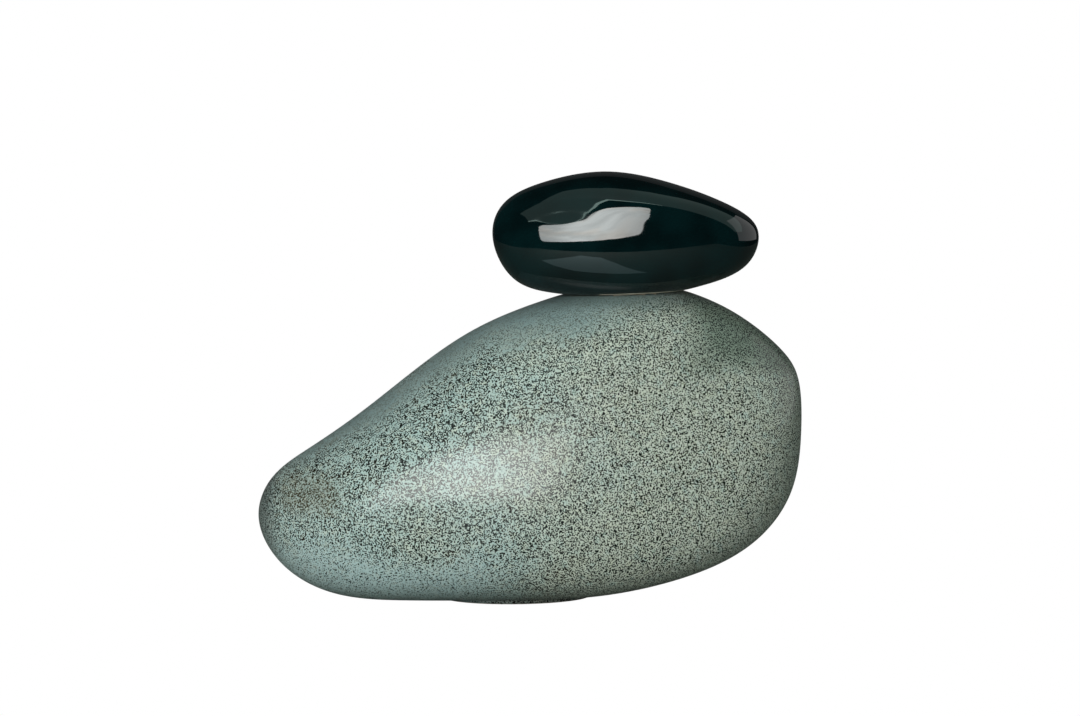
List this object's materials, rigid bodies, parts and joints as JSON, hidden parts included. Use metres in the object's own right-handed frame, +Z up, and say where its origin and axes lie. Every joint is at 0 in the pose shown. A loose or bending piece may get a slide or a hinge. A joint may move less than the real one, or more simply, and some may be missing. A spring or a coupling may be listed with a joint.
{
  "type": "lidded ceramic vessel shaped like two stacked river pebbles",
  "caption": "Hollow glazed ceramic vessel in the form of a large speckled pebble, with a small dark glossy pebble as its lift-off lid on a flat seat on top.",
  "frame": {"origin": "on the surface it stands on, below the middle of the overall box", "axes": "+X from the vessel's narrow end to its thick end, +Y away from the pictured side, +Z up"},
  "size_m": [0.32, 0.1694, 0.2507],
  "materials": {
    "speckled_glaze": "grey-green celadon glaze drawn into small islands over a dark brown ground, glossy",
    "dark_gloss_glaze": "deep teal-black glaze, mirror gloss",
    "bare_clay": "unglazed cream stoneware, matt, on the lid's flat base and collar and under the foot"
  },
  "bodies": {
    "root": {"vessel": "speckled_glaze", "lid": "dark_gloss_glaze"}
  },
  "joints": []
}
